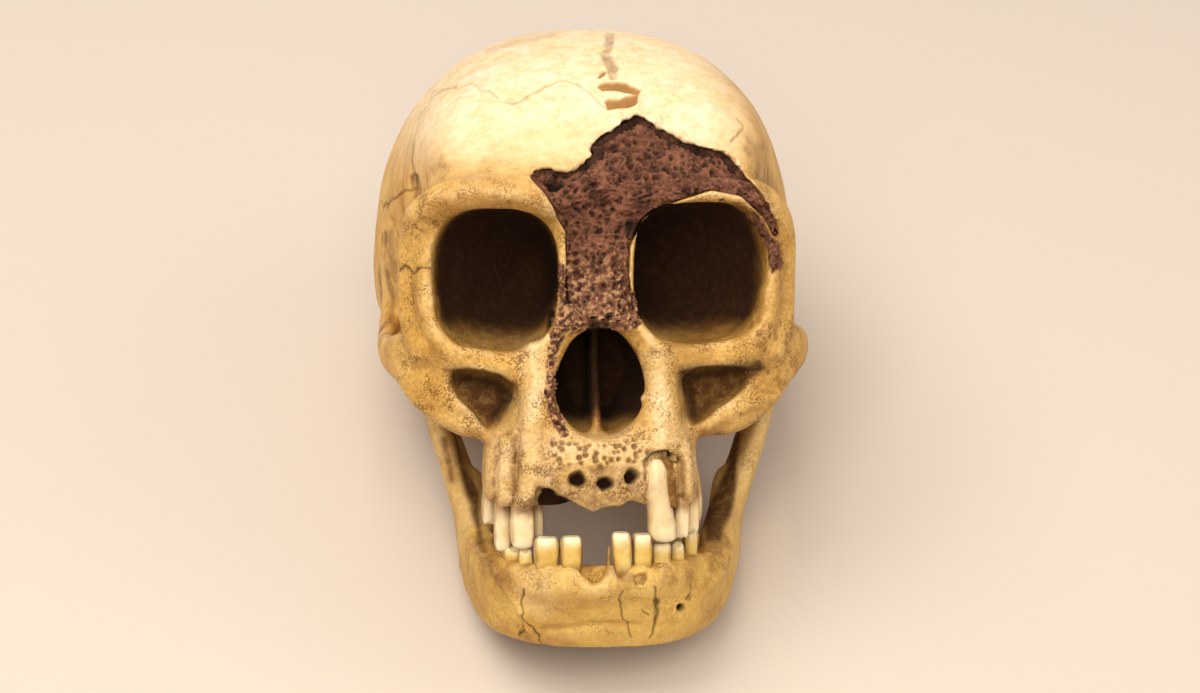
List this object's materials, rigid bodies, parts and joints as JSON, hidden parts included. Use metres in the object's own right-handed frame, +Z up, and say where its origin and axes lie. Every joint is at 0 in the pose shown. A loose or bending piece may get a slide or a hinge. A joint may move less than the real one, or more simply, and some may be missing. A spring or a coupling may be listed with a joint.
{
  "type": "fossil hominin skull",
  "caption": "Small fossil hominin skull with its jaw, brown matrix filling the broken brow, tipped back as it rests on a table.",
  "frame": {"origin": "centre of the bounding box, on the plane that the skull rests on", "axes": "-Y towards the side the face looks to, +X to the right of a person who looks at the face, +Z up"},
  "size_m": [0.117, 0.1798, 0.1247],
  "materials": {
    "bone": "matt, pale cream on the crown and ochre on the face and jaw",
    "brown_matrix": "rough, dark reddish brown, full of pores"
  },
  "bodies": {
    "root": {"frontal_bone": "bone", "brown_infill": "brown_matrix", "parietal_right": "bone", "parietal_left": "bone", "occipital_bone": "bone", "temporal_right": "bone", "temporal_left": "bone", "sphenoid_and_base": "bone", "zygomatic_right": "bone", "zygomatic_left": "bone", "maxilla": "bone", "mandible": "bone"}
  },
  "joints": []
}
